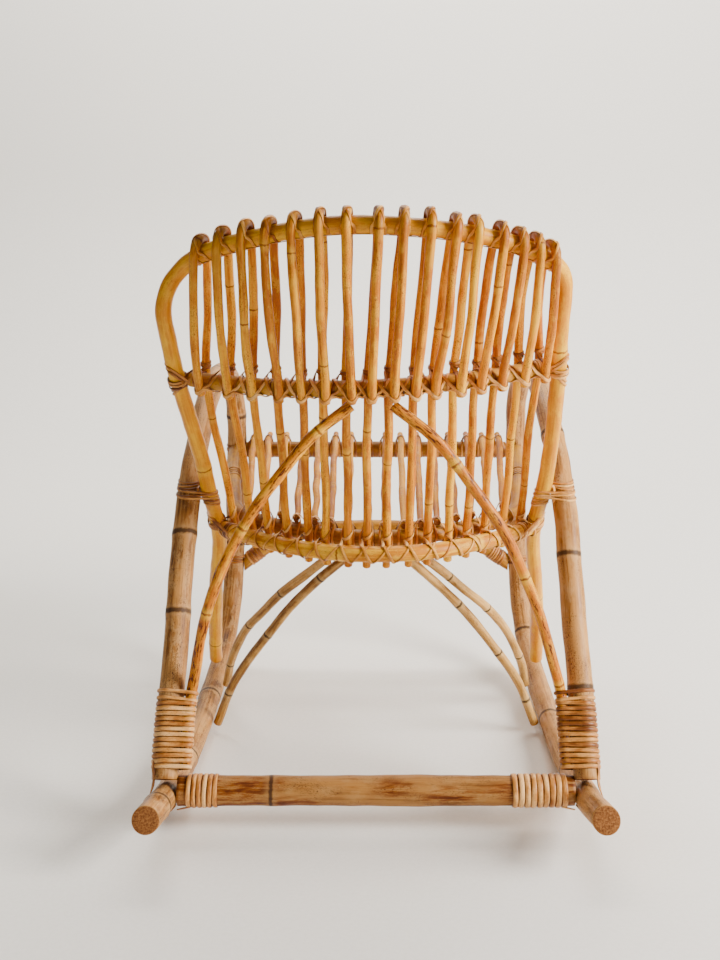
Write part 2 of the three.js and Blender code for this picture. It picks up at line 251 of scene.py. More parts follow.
def add_pole(parts, line, radius, rng, sides, rings, swell=0.05, rough=0.02, taper=(0.0, 0.0), stray=0.0,
             burns=(), upright_ends=0.0):
    """One pole or rod: bark, growth rings, rounded sawn ends. taper is how much thinner each end is, and
    burns are (place, length, strength) of the darkened stretches. upright_ends is the distance from the
    middle plane at which both ends are sawn upright instead of square."""
    places = arc_length(line)
    total = places[-1]
    tangent, across, third = frames_along(line)
    fade = np.clip(np.minimum(places, total - places) / (30 * MM), 0, 1)
    if stray:
        sideways, outwards = (slow_noise(places, rng, 4, 0.09, 0.3) * fade * stray for _ in range(2))
        line = line + across * sideways[:, None] + third * outwards[:, None]
        tangent, across, third = frames_along(line)
    scale = 1 + rough * slow_noise(places, rng, 5, 0.03, 0.22)
    nearest = np.full(len(places), FAR)
    for place in rings:
        away = places - place
        scale += swell * np.exp(-((away / (0.32 * radius + 2.5 * MM)) ** 2))
        scale -= 0.35 * swell * np.exp(-((away / (1.1 * MM)) ** 2))
        nearest = np.where(np.abs(away) < np.abs(nearest), away, nearest)
    share = places / total
    start, finish = (np.clip(1 - s / 0.3, 0, 1) ** 1.5 for s in (share, 1 - share))
    scale *= 1 - taper[0] * start - taper[1] * finish
    angles = 2 * np.pi * np.arange(sides) / sides
    squash = 0.018 * slow_noise(places, rng, 3, 0.15, 0.5)
    oval = squash[:, None] * np.cos(2 * angles + rng.uniform(0, 6))[None, :]
    reach = radius * (scale[:, None] + oval)
    cosine, sine = np.cos(angles), np.sin(angles)
    ring_points = swept(line, across, third, cosine[None, :] * reach, sine[None, :] * reach)
    bark, offset = bark_places(rng, places, cosine * radius, sine * radius)
    darkness = np.zeros(len(places))
    for place, length, strength in burns:
        darkness = np.maximum(darkness, strength * np.exp(-(((places - place) / length) ** 2)))
    burn = [np.repeat(darkness, sides)]

    count = len(line)
    faces = [face for i in range(count - 1) for face in quads(i * sides, (i + 1) * sides, sides)]
    numbers = [0] * len(faces)
    points = [ring_points.reshape(-1, 3)]
    barks = [bark.reshape(-1, 3)]
    values = [np.repeat(nearest, sides)]
    size = count * sides
    for index, outward in ((0, -1), (count - 1, 1)):
        centre, direction = line[index], tangent[index] * outward
        if upright_ends:
            plane = math.copysign(upright_ends, centre[0])
            centre = centre + direction * (plane - centre[0]) / direction[0]
            ring_points[index] += direction * ((plane - ring_points[index][:, :1]) / direction[0])
            points[0] = ring_points.reshape(-1, 3)
            direction = np.array([math.copysign(1.0, plane), 0.0, 0.0])
        rim = index * sides
        caps = []
        for shrink, lift in END_RINGS:
            points.append(centre + (ring_points[index] - centre) * shrink + direction * lift)
            inwards = (bark[index] - [*offset[:2], 0]) * [shrink - 1, shrink - 1, 0]
            barks.append(bark[index] * [1, 1, 0] + [0, 0, offset[2]] + inwards)
            values.append(np.full(sides, FAR))
            burn.append(np.full(sides, darkness[index]))
            caps += quads(rim, size, sides)
            rim = size
            size += sides
        points.append((centre + direction * 0.1 * MM)[None, :])
        barks.append(np.array([offset]))
        values.append(np.array([FAR]))
        burn.append(np.array([darkness[index]]))
        caps += [[*face[:2], size] for face in quads(rim, size, sides)]
        faces += caps if outward > 0 else [face[::-1] for face in caps]
        numbers += [0] * sides + [1] * (len(caps) - sides)
        size += 1
    parts.add(np.vstack(points), faces, numbers, np.vstack(barks), np.concatenate(values), rng.random(),
              np.concatenate(burn))
    return line


def add_strip(parts, path, normals, width, thick, rng, closed=False):
    """A band of split cane along a path: flat inside, bowed outside, lying square to the given normals."""
    line, up = np.asarray(path, float), np.asarray(normals, float)
    if closed:
        ahead = np.roll(line, -1, axis=0) - np.roll(line, 1, axis=0)
    else:
        line, up = smooth_pair(line, up)
        ahead = np.gradient(line, axis=0)
    tangent = unit(ahead)
    up = unit(up - tangent * np.einsum("ij,ij->i", up, tangent)[:, None])
    side = np.cross(tangent, up)
    places = arc_length(line)
    broad = width * (1 + 0.06 * slow_noise(places, rng, 3, 0.02, 0.09))
    right, out = CANE_SECTION.T
    rows = swept(line, side, up, right[None, :] * broad[:, None], (out * thick)[None, :])
    bark = bark_places(rng, places, right * width, 0 * right)[0]
    count, sides = len(line), len(right)
    faces = []
    for i in range(count if closed else count - 1):
        following = (i + 1) % count * sides
        faces += [[a, d, c, b] for a, b, c, d in quads(i * sides, following, sides)]
    if not closed:
        faces.append(list(range(sides)))
        faces.append([(count - 1) * sides + j for j in range(sides - 1, -1, -1)])
    # How near each corner lies to an edge of the strap, read by the peel for its painted edge shade.
    edge = np.tile(np.abs(right) * 2, count)
    parts.add(rows.reshape(-1, 3), faces, [0] * len(faces), bark.reshape(-1, 3), edge, rng.random())


def smooth_pair(path, normals):
    """Path and normals smoothed together and put in equal steps."""
    dense = smooth_line(path, CANE_STEP / 2)
    reach, walk = arc_length(path), arc_length(dense)
    up = read_off(walk * reach[-1] / walk[-1], reach, normals)
    at = np.linspace(0, walk[-1], max(int(round(walk[-1] / CANE_STEP)), 6) + 1)
    return read_off(at, walk, dense), read_off(at, walk, up)


# ---- materials ----


class Nodes:
    """A short way to write a material's node tree. An input is named by its label, or by i and its number."""

    def __init__(self, name):
        self.material = bpy.data.materials.new(name)
        self.material.use_nodes = True
        self.tree = self.material.node_tree
        self.shader = self.tree.nodes["Principled BSDF"]

    def make(self, kind, settings=None, **inputs):
        node = self.tree.nodes.new("ShaderNode" + kind)
        for key, value in (settings or {}).items():
            setattr(node, key, value)
        for key, value in inputs.items():
            self.feed(node, key, value)
        return node

    def feed(self, node, key, value):
        by_number = key[0] == "i" and key[1:].isdigit()
        socket = node.inputs[int(key[1:]) if by_number else key.replace("_", " ")]
        if isinstance(value, bpy.types.NodeSocket):
            self.tree.links.new(value, socket)
        else:
            socket.default_value = value

    @cached_property
    def bark(self):
        return self.attribute("bark")

    def attribute(self, name):
        node = self.make("Attribute", {"attribute_name": name})
        return node.outputs["Vector"] if name == "bark" else node.outputs["Fac"]

    def stretched(self, vector, scale):
        return self.make("Mapping", Vector=vector, Scale=scale).outputs["Vector"]

    def noise(self, vector, scale, detail=4.0, rough=0.55):
        node = self.make("TexNoise", Vector=vector, Scale=scale, Detail=detail, Roughness=rough)
        return node.outputs["Fac"]

    def grain(self, stretch, detail, rough):
        """Noise over the bark, the three numbers of stretch telling how fine it is across and along."""
        return self.noise(self.stretched(self.bark, stretch), 1.0, detail, rough)

    def ramp(self, value, stops):
        node = self.make("ValToRGB", Fac=value)
        elements = node.color_ramp.elements
        while len(elements) < len(stops):
            elements.new(0.5)
        for element, (place, colour) in zip(elements, stops):
            element.position = place
            element.color = colour if len(colour) == 4 else (*colour, 1)
        return node.outputs["Color"]

    def level(self, value, low, high, out_low=0.0, out_high=1.0):
        node = self.make("MapRange", {"interpolation_type": "SMOOTHSTEP"}, Value=value, From_Min=low,
                         From_Max=high, To_Min=out_low, To_Max=out_high)
        return node.outputs["Result"]

    def math(self, operation, a, b=0.0):
        return self.make("Math", {"operation": operation}, i0=a, i1=b).outputs[0]

    def times(self, a, b):
        return self.math("MULTIPLY", a, b)

    def ground(self, fine, share, broad, tone_reach, spread, colours):
        """Dark, middle and light by two noises, shifted by the tone of each pole or strap."""
        tone = self.times(self.math("SUBTRACT", self.attribute("tone"), 0.5), tone_reach)
        mixed = self.math("ADD", self.times(fine, share), self.times(broad, 1 - share))
        shifted = self.math("ADD", mixed, tone)
        return self.ramp(shifted, [(0.5 + k * spread, colour) for k, colour in zip((-1, 0, 1), colours)])

    def mix(self, factor, a, b):
        node = self.make("Mix", {"data_type": "RGBA"}, i0=factor, i6=a, i7=b)
        return node.outputs[2]

    def bump(self, height, strength, distance, normal=None):
        node = self.make("Bump", Height=height, Strength=strength, Distance=distance)
        if normal is not None:
            self.feed(node, "Normal", normal)
        return node.outputs["Normal"]

    def done(self, colour, roughness, normal, specular, coat=0.0):
        self.feed(self.shader, "Base_Color", colour)
        self.feed(self.shader, "Roughness", roughness)
        self.feed(self.shader, "Normal", normal)
        self.shader.inputs["Coat Weight"].default_value = coat
        self.shader.inputs["Coat Roughness"].default_value = 0.3
        self.shader.inputs["Specular IOR Level"].default_value = specular
        return self.material


def srgb(r, g, b):
    def one(c):
        c /= 255
        return c / 12.92 if c <= 0.04045 else ((c + 0.055) / 1.055) ** 2.4

    return (one(r), one(g), one(b), 1)


# Powers that turn a colour as it looks on screen into the one to paint with, so that it still looks so when
# lit. Golden wood has to be redder and deeper, and greyed wood takes the light more flatly.
WOOD = (0.74, 0.93, 1.8)
OLD_WOOD = (1.75, 1.6, 1.75)
CANE = (1.1, 1.15, 1.35)


def shades(powers, codes):
    """The colours to paint with for colours on screen, written as hex codes."""
    return [(*(c**p for c, p in zip(srgb(*bytes.fromhex(code)), powers)), 1) for code in codes.split()]


BROWN_SPOT, BLACK_FLECK, STAIN, DEEP_STAIN, SCORCH, PALE_SCORCH = shades(
    WOOD, "96581a 341808 5c361e 361d10 2c160e 683a1e")


def bark_look(name, colours, speckles=0.5, spots=0.0, gloss=0.42, worn_share=0.4, ring_width=1.0,
                  coat=0.02, stains=0.0, tone_reach=0.2):
    """Rattan skin: long streaks, worn paler patches, fine specks, dark growth rings and shallow grooves. The
    colours are dark, middle, light, worn, speck and ring. spots are near-black flecks and stains are long
    patches of old bark."""
    worn, speck, ring_dark = colours[3:]
    n = Nodes(name)
    streak = n.grain((260, 260, 8), 5, 0.62)
    patch = n.grain((34, 34, 12), 4, 0.6)
    blotch = n.grain((80, 80, 38), 5, 0.66)
    colour = n.ground(streak, 0.5, patch, tone_reach, 0.1, colours)
    wear = n.level(blotch, 0.48, 0.62, 0.0, worn_share)
    colour = n.mix(wear, colour, worn)
    lines = n.grain((700, 700, 16), 4, 0.65)
    line_mask = n.level(lines, 0.56, 0.66, 0.0, 0.45 * speckles)
    colour = n.mix(line_mask, colour, speck)
    fine = n.grain((1500, 1500, 800), 2, 0.5)
    coarse = n.grain((620, 620, 300), 3, 0.6)
    where = n.level(n.grain((46, 46, 20), 3, 0.5), 0.36, 0.6)
    dots = n.math("MAXIMUM", n.level(fine, 0.58, 0.64), n.level(coarse, 0.6, 0.65))
    dot_mask = n.times(dots, n.times(where, speckles))
    colour = n.mix(dot_mask, colour, speck)
    cut = dot_mask
    if spots:
        flecks = n.grain((360, 360, 70), 4, 0.66)
        area = n.level(n.grain((85, 85, 15), 3, 0.6), 0.42, 0.54)
        brown = n.times(n.level(area, 0.2, 1.0), 0.6)
        colour = n.mix(brown, colour, BROWN_SPOT)
        fleck_mask = n.times(n.level(flecks, 0.51, 0.56), n.times(area, spots))
        colour = n.mix(fleck_mask, colour, BLACK_FLECK)
        cut = n.math("MAXIMUM", cut, fleck_mask)
    if stains:
        rough_bark = n.grain((150, 150, 17), 7, 0.72)
        area = n.level(n.grain((26, 26, 7), 2, 0.5), 0.38, 0.52)
        stain = n.times(n.level(rough_bark, 0.44, 0.53), n.times(area, stains))
        colour = n.mix(stain, colour, STAIN)
        deep = n.times(n.level(rough_bark, 0.53, 0.58), n.times(area, stains))
        colour = n.mix(deep, colour, DEEP_STAIN)
        cut = n.math("MAXIMUM", cut, deep)
    ring = n.attribute("ring")
    wobble = n.times(n.math("SUBTRACT", n.grain((260, 260, 260), 4, 0.7), 0.5), 0.006)
    away = n.math("ABSOLUTE", n.math("ADD", ring, wobble))
    band = n.level(away, 0.0006 * ring_width, 0.0019 * ring_width, 0.88, 0.0)
    halo = n.level(away, 0.002, 0.012, 0.4, 0.0)
    colour = n.mix(halo, colour, worn)
    colour = n.mix(band, colour, ring_dark)
    colour = n.mix(n.attribute("burn"), colour, n.ramp(blotch, [(0.4, SCORCH), (0.62, PALE_SCORCH)]))
    rough = n.level(blotch, 0.35, 0.7, gloss - 0.08, gloss + 0.16)
    grain = n.grain((420, 420, 11), 4, 0.6)
    normal = n.bump(grain, 0.4, 0.0007)
    normal = n.bump(n.times(cut, -1.0), 0.4, 0.0005, normal)
    normal = n.bump(blotch, 0.4, 0.0013, normal)
    return n.done(colour, rough, normal, 0.2, coat)


def sawn_look(name, colours):
    """End grain of rattan: a field of small pores on a cloudy ground, with a few paler saw marks."""
    dark, middle, light = colours
    n = Nodes(name)
    pores = n.make("TexVoronoi", {"feature": "F1"}, Vector=n.stretched(n.bark, (1, 1, 0)), Scale=900.0)
    pore_mask = n.level(pores.outputs["Distance"], 0.1, 0.45)
    cloud = n.grain((420, 420, 0), 6, 0.7)
    colour = n.ramp(cloud, [(0.36, dark), (0.5, middle), (0.64, light)])
    colour = n.mix(n.times(n.math("SUBTRACT", 1.0, pore_mask), 0.55), colour, dark)
    marks = n.grain((70, 1500, 0), 3, 0.6)
    colour = n.mix(n.level(marks, 0.52, 0.66, 0.0, 0.35), colour, light)
    normal = n.bump(pore_mask, 0.5, 0.0006)
    normal = n.bump(marks, 0.35, 0.0005, normal)
    return n.done(colour, 0.85, normal, 0.25)


def peel_look(name, colours, tone_reach=0.16):
    """Split cane peel: glossy skin with fibres along it and dark specks, with painted shade darkening its
    edges.
    """
    speck_and_edge_shade = colours[3]
    n = Nodes(name)
    fibres = n.grain((1500, 1, 24), 4, 0.6)
    patch = n.grain((120, 1, 46), 4, 0.62)
    colour = n.ground(fibres, 0.4, patch, tone_reach, 0.12, colours)
    specks = n.grain((1500, 1, 380), 2, 0.5)
    colour = n.mix(n.level(specks, 0.6, 0.68, 0.0, 0.5), colour, speck_and_edge_shade)
    # Painted shade: the strap darkens towards both edges of its width, in the colour of its specks.
    edge = n.attribute("ring")
    colour = n.mix(n.level(edge, 0.7, 1.0, 0.0, 0.8), colour, speck_and_edge_shade)
    rough = n.level(patch, 0.3, 0.7, 0.34, 0.54)
    normal = n.bump(fibres, 0.45, 0.0005)
    return n.done(colour, rough, normal, 0.28, 0.02)


GREYED = bark_look(
    "weathered_skin", shades(OLD_WOOD, "845a38 bc8c5e d6aa7c deba94 583622 643e2e"), speckles=1.0,
    gloss=0.48, worn_share=0.5, ring_width=2.8)
CROSSBAR_SKIN = bark_look(
    "crossbar_skin", shades(OLD_WOOD, "7c5232 ac7e54 c4986c caa47e 5c3a24 643c28"), speckles=0.9,
    gloss=0.52, worn_share=0.45, ring_width=2.0, coat=0.01, stains=1.0)
GOLD = bark_look(
    "golden_skin", shades(WOOD, "c07c18 de9c28 f0b848 eebc5c 844c14 6c3c18"), gloss=0.36, worn_share=0.35,
    ring_width=1.1, coat=0.03)
LASHED_GOLD = bark_look(
    "rail_skin", shades(WOOD, "b27028 e2a248 f4be64 f4c47a 703e18 643618"), speckles=0.55, gloss=0.44)
BROWN = bark_look(
    "brown_skin", shades(WOOD, "66462a 8e6646 ae7e56 b48a68 482e1e 42281c"), speckles=0.6, gloss=0.5)
HONEY = bark_look(
    "honey_skin", shades(WOOD, "9e5c12 d68822 f0b04c e4ae64 683814 5c3016"), speckles=1.0, worn_share=0.45,
    ring_width=0.8, coat=0.03, tone_reach=0.16)
SEAT_SKIN = bark_look(
    "seat_rod_skin", shades(WOOD, "7c4a1e a66c34 be864c c29260 5c361a 54301a"), speckles=0.7, gloss=0.6,
    worn_share=0.35, ring_width=0.8, coat=0.0)
SPOTTED = bark_look(
    "spotted_skin", shades(WOOD, "ba680e e29422 f4b442 f6c46e 46240a 5c2e12"), speckles=0.8, spots=1.0,
    gloss=0.38, worn_share=0.3, ring_width=1.2, coat=0.03)
TAN = bark_look(
    "tan_skin", shades(OLD_WOOD, "a67a4a d0a772 e4c08e e2c49c 6a4226 5c3824"), speckles=0.55, gloss=0.44,
    ring_width=1.4)
SAWN = sawn_look("sawn_end", shades(CANE, "5c3a24 885a3a aa7854"))
SAWN_DARK = sawn_look("old_sawn_end", shades(CANE, "422818 6a4228 8a5e3e"))
# The fourth colour of each peel is for its specks and for the painted shade at its edges.
PEEL = peel_look("cane_peel", shades(CANE, "aa6e34 e0a25e f6c88e 60361a"))
ROUND_PEEL = peel_look("wrapping_cane", shades(CANE, "9c6232 d0965e ecbe8e 5a321a"), 0.18)
WORN_PEEL = peel_look("worn_cane", shades(CANE, "70421e aa703c d6a06a 3e2010"), 0.22)
GOLD_PEEL = peel_look("golden_peel", shades(CANE, "a26426 d49648 eab66a 5c3214"))
DARK_PEEL = peel_look("old_peel", shades(CANE, "6e401e a86e3a ce965e 3e2010"))

# ---- poles and rods ----

ROD_COUNT = 16
LINES = {}
RADII = {}


def pole(node, skin, slot, seed, sides=32, step=4 * MM, spacing=0.2, wanted=(), sawn=SAWN, crown_burn=0.0,
         **shape):
    """Covers a swept node with bark. crown_burn is how dark its highest bend is."""
    rng = np.random.default_rng(seed)
    centres, radius = centreline(node)
    line = smooth_line(centres, step)
    places = arc_length(line)
    rings = growth_rings(places[-1], rng, spacing, wanted)
    if crown_burn:
        crown = places[np.argmax(line[:, 2])]
        shape["burns"] = [(crown - 6 * MM, 16 * MM, crown_burn), (crown + 9 * MM, 11 * MM, 0.8 * crown_burn),
                          (crown + 20 * MM, 60 * MM, 0.5 * crown_burn)]
    parts = Parts()
    LINES[node] = add_pole(parts, line, radius, rng, sides, rings, **shape)
    RADII[node] = radius
    parts.build(node + "_skin", [skin, sawn], slot, [node])


pole("side_hoop_left", GREYED, "weathered_pole", 11, 40, spacing=0.27, wanted=(0.211, 0.318, -0.07, -0.28),
     swell=0.06, rough=0.016, stray=0.5 * MM)
pole("side_hoop_right", GREYED, "weathered_pole", 12, 40, spacing=0.29, wanted=(0.288, -0.235), swell=0.065,
     rough=0.018, stray=0.5 * MM)
pole("rear_crossbar", CROSSBAR_SKIN, "weathered_pole", 13, 40, spacing=0.3, wanted=(-0.118,), swell=0.03)
pole("back_hoop", GOLD, "golden_pole", 14, spacing=0.24, wanted=(0.36, 0.66, 1.62), rough=0.016,
     stray=0.5 * MM)
for node, skin, seed, spacing in (
    ("back_mid_rail", BROWN, 15, 0.21), ("back_lower_rail", LASHED_GOLD, 16, 0.2),
    ("seat_frame", BROWN, 17, 0.22), ("seat_front_rail", BROWN, 18, 0.2),
):
    pole(node, skin, "golden_pole", seed, spacing=spacing)
pole("front_stretcher", BROWN, "weathered_pole", 19, spacing=0.24, upright_ends=229 * MM)
for side, seed in (("left", 20), ("right", 21)):
    pole(f"rear_brace_{side}", SPOTTED, "spotted_rod", seed, 28, spacing=0.15, swell=0.06, rough=0.03,
         stray=0.6 * MM)
    for where, later in (("outer", 2), ("inner", 4)):
        pole(f"seat_brace_{where}_{side}", TAN, "golden_pole", seed + later, 24, spacing=0.13, swell=0.06,
             rough=0.03, sawn=SAWN_DARK, stray=0.6 * MM)
rod_rng = np.random.default_rng(7)
for i in range(1, ROD_COUNT + 1):
    pole(f"back_rod_{i:02d}", HONEY, "honey_rod", 100 + i, 20, 3.5 * MM, 0.3, swell=0.06, rough=0.04,
         sawn=SAWN_DARK, stray=0.8 * MM, crown_burn=rod_rng.uniform(0.4, 1.0))
    pole(f"seat_rod_{i:02d}", SEAT_SKIN, "honey_rod", 200 + i, 20, 5 * MM, 0.24, rough=0.03,
         taper=(0.22, 0.12), stray=0.7 * MM)

# ---- places on and round the poles ----


class Axis:
    """A pole's centreline with its length, for places on and round it."""

    def __init__(self, node):
        self.line = LINES[node]
        self.radius = RADII[node]
        self.reach = arc_length(self.line)
        self.tangent = unit(np.gradient(self.line, axis=0))

    def nearest(self, point):
        return self.reach[np.argmin(norm(self.line - np.asarray(point), axis=1))]

    def at(self, place):
        inside = min(max(place, 0.0), self.reach[-1])
        return read_off(inside, self.reach, self.line) + self.heading(inside) * (place - inside)

    def heading(self, place):
        return unit(read_off(place, self.reach, self.tangent))

    def sides(self, place):
        """The pole's rear and top directions at a place."""
        t = self.heading(place)
        back = unit(REAR - t * (REAR @ t))
        top = np.cross(back, t)
        return back, top if top[2] > 0 else -top

    def round(self, place, angle, above):
        """A point round the pole: angle 0 is its rear side, 90 the top, 180 the front, -90 underneath."""
        return on_rod(self.at(place), *self.sides(place), self.radius, angle, above)

    def around(self, place, angles):
        """Points close to the pole, at several angles."""
        return [self.round(place, angle, CLOSE) for angle in angles]


def crossing(a, b, part_of_b=slice(None), part_of_a=slice(None)):
    """Where poles a and b, or the given parts of them, pass closest: (place along a, place along b)."""
    gaps = norm(a.line[part_of_a][:, None, :] - b.line[part_of_b][None, :, :], axis=2)
    i, j = np.unravel_index(np.argmin(gaps), gaps.shape)
    return a.reach[part_of_a][i], b.reach[part_of_b][j]


def end_towards(rail, sign):
    """The end of a rail on one side, and which way along it leads inwards."""
    return (0.0, 1) if rail.line[0, 0] * sign > 0 else (rail.reach[-1], -1)


LEAST_ASLANT = 0.72  # sine of the smallest angle between a pole and a plane that cuts it in full
OUTLINE_STEPS = 48
TURN_STEP = 2.4 * MM


def section(axis, point, along, first, second):
    """The pole's outline in the plane through point square to along, measured from point along first and
    second. A plane that cuts the pole very aslant gives a shorter outline, so that no turn reaches past
    the pole's end."""
    place = axis.nearest(point)
    for _ in range(5):
        place -= ((axis.at(place) - point) @ along) / (axis.heading(place) @ along)
    heading = axis.heading(place)
    centre = axis.at(place) - point
    outline = []
    for k in range(OUTLINE_STEPS):
        angle = 2 * math.pi * k / OUTLINE_STEPS
        ray = first * math.cos(angle) + second * math.sin(angle)
        aslant = max(norm(ray - heading * (ray @ heading)), LEAST_ASLANT)
        spot = centre + ray * axis.radius / aslant
        outline.append((spot @ first, spot @ second))
    return outline


def outer_loop(spots):
    """The taut loop round all the spots, turning left."""
    spots = sorted(set(spots))
    loop = []
    for walk in (spots, spots[::-1]):
        half = []
        for p in walk:
            while len(half) > 1 and ((half[-1][0] - half[-2][0]) * (p[1] - half[-2][1])
                                     - (half[-1][1] - half[-2][1]) * (p[0] - half[-2][0])) <= 0:
                half.pop()
            half.append(p)
        loop += half[:-1]
    return np.array(loop)


class Lashing(Parts):
    """Straps and turns of split cane that make one piece. Widths, thicknesses and gaps are in millimetres."""

    def __init__(self, seed):
        super().__init__()
        self.rng = np.random.default_rng(seed)

    def tie(self, stations, width, thick=STRAP):
        """One strap through the stations, each a point and the direction in which it lies bare."""
        add_strip(self, [s[0] for s in stations], [s[1] for s in stations], width * MM, thick * MM, self.rng)

    def bind(self, axes, point, along, width, thick=TURN, slack=0.1, tilt=0.0):
        """One taut turn of peel round all the given poles, in the plane through point square to along."""
        along = unit(np.asarray(along, float))
        first = unit(np.cross(along, [0.0, 1.0, 0.0] if abs(along[1]) < 0.9 else [1.0, 0.0, 0.0]))
        if tilt:
            along = unit(along + first * math.tan(math.radians(tilt)))
            first = unit(first - along * (first @ along))
        second = np.cross(along, first)
        loop = outer_loop([s for axis in axes for s in section(axis, point, along, first, second)])
        loop = np.vstack([loop, loop[:1]])
        reach = arc_length(loop)
        count = max(int(reach[-1] / TURN_STEP), 20)
        flat = read_off(np.linspace(0, reach[-1], count, endpoint=False), reach, loop)
        ahead = unit(np.roll(flat, -1, axis=0) - np.roll(flat, 1, axis=0))
        out = np.stack([ahead[:, 1], -ahead[:, 0]], axis=1)
        flat = flat + out * slack * MM
        path = point + flat[:, :1] * first + flat[:, 1:] * second
        normals = out[:, :1] * first + out[:, 1:] * second
        add_strip(self, path, normals, width * MM, thick * MM, self.rng, closed=True)

    def vary(self, low, high):
        return self.rng.uniform(low, high)

    def done(self, name, material, replaces=()):
        self.build(name, [material], "cane_peel", replaces)

    def turns(self, pole, places, width, lean, thick=TURN, **more):
        """Turns round one pole, each leaning either way by up to so many degrees."""
        for place in places:
            tilt = self.vary(-lean, lean)
            self.bind([pole], pole.at(place), pole.heading(place), width, thick, tilt=tilt, **more)


def hug(rod, rod_place, rail, turn, way, lift):
    """On a rod bent round a rail: turn 0 is the rod's outer side, 90 its flank towards way along the rail."""
    centre = rod.at(rod_place)
    along = rod.heading(rod_place)
    rail_place = rail.nearest(centre)
    outwards = centre - rail.at(rail_place)
    outwards = unit(outwards - along * (outwards @ along))
    flank = rail.heading(rail_place)
    flank = unit(flank - along * (flank @ along) - outwards * (flank @ outwards))
    return on_rod(centre, outwards, flank * way, rod.radius, turn, lift)


def on_rod(centre, outwards, sideways, rod_radius, turn, lift):
    """A point lift millimetres off a rod, so many degrees from outwards to sideways, and its normal."""
    a = math.radians(turn)
    normal = unit(outwards * math.cos(a) + sideways * math.sin(a))
    return centre + normal * (rod_radius + lift * MM), normal


ARCH = Axis("back_hoop")
MID = Axis("back_mid_rail")
LOW = Axis("back_lower_rail")
SEAT = Axis("seat_frame")
FRONT = Axis("seat_front_rail")
STRETCHER = Axis("front_stretcher")
CROSSBAR = Axis("rear_crossbar")
HOOPS = {"left": Axis("side_hoop_left"), "right": Axis("side_hoop_right")}
BRACES = {"left": Axis("rear_brace_left"), "right": Axis("rear_brace_right")}
BACK_RODS = [Axis(f"back_rod_{i:02d}") for i in range(1, ROD_COUNT + 1)]
SEAT_RODS = [Axis(f"seat_rod_{i:02d}") for i in range(1, ROD_COUNT + 1)]
SIGNS = {"left": 1, "right": -1}

# ---- lashings over the top of the back ----


def over(way, turn, base, rise):
    """How high a strap of a crossing pair lies: the second one climbs over the first in the middle."""
    return base if way > 0 else base + rise * math.exp(-((turn / 30) ** 2))


def top_lashings():
    """Two straps cross over the crown of each hairpin and hug its flanks; a third runs under the hoop."""
    parts = Lashing(301)
    places = []
    for rod in BACK_RODS:
        crown = np.argmax(rod.line[:, 2])
        place = ARCH.nearest(rod.line[crown] - UP * (rod.radius + ARCH.radius))
        places.append(place)
        bend = 1.07 * (rod.radius + ARCH.radius)

        def on_bend(angle):
            return rod.reach[crown] + math.radians(90 - angle) * bend

        def drift(angle):
            """How far along the hoop the rod has moved at an angle of its bend."""
            return (rod.at(on_bend(angle)) - ARCH.at(place)) @ ARCH.heading(place)

        for way in (1, -1):
            flank = (rod.radius + parts.vary(1.4, 2.2) * MM) * way
            stations = ARCH.around(place + drift(0) - flank, (-105, -75, -45, -15))
            for angle, turn in ((6, -100), (20, -74), (34, -46), (47, -16), (60, 12), (76, 42), (98, 70),
                                (126, 94)):
                stations.append(hug(rod, on_bend(angle), ARCH, turn, way, over(way, turn, -0.3, 1.2)))
            stations += ARCH.around(place + drift(180) + flank, (190, 220, 255))
            parts.tie(stations, 4.4)
    order = sorted(places)
    for a, b in zip(order, order[1:]):
        stations = [ARCH.round(a + (b - a) * i / 6, -70 - 22 * math.sin(math.pi * i / 6), CLOSE)
                    for i in range(7)]
        parts.tie(stations, 3.6)
    parts.done("top_lashings", GOLD_PEEL)


# ---- lashings of the two bowed rails ----


def leg_crossings(rail, leg):
    """Place along the rail and on the rod where each hairpin's front or rear leg passes it."""
    found = []
    for rod in BACK_RODS:
        half = np.argmax(rod.line[:, 2])
        found.append(crossing(rail, rod, slice(0, half) if leg == "front" else slice(half, None)))
    return found


def ordered(crossings):
    """Rod numbers in order along the rail, and the usual distance between neighbours."""
    order = sorted(range(ROD_COUNT), key=lambda i: crossings[i][0])
    return order, np.median(np.diff([crossings[i][0] for i in order]))


def rightwards(rail, place):
    """The sign of the way along a rail that leads to the sitter's right, and that direction."""
    heading = rail.heading(place)
    way = -np.sign(heading[0])
    return way, heading * way


def mid_rail_lashings():
    """Straps zigzag along the rail and turn under the tip of each hairpin's rear leg in a V."""
    parts = Lashing(302)
    rear = leg_crossings(MID, "rear")
    order, spacing = ordered(rear)
    for i in order:
        rod, place = BACK_RODS[i], rear[i][0]
        back = MID.sides(place)[0]
        to_right, right = rightwards(MID, place)
        tip = rod.line[-1]
        up = unit(rod.line[-4] - tip)
        for way, width, lift in ((-1, 4.2, 0.2), (1, 4.8, 1.3)):
            reach = spacing * to_right * way * parts.vary(0.94, 1.06)

            def rail(share, angle, above=0.0):
                return MID.round(place + share * reach, angle, lift + above)

            def leg(height, turn):
                return on_rod(tip + up * height * MM, back, right * way, rod.radius, turn, lift)

            parts.tie([rail(-0.92, 150), rail(-0.86, 108), rail(-0.76, 70), rail(-0.62, 38), rail(-0.5, 12),
                       rail(-0.39, -10, 0.8), leg(9.5, -84), leg(5.0, -50), leg(1.6, -14), leg(1.2, 12),
                       leg(4.0, 46), leg(7.5, 80), rail(0.36, -44, 1.2), rail(0.44, -78),
                       rail(0.5, -112), rail(0.54, -150)], width)
    parts.done("mid_rail_lashings", PEEL)


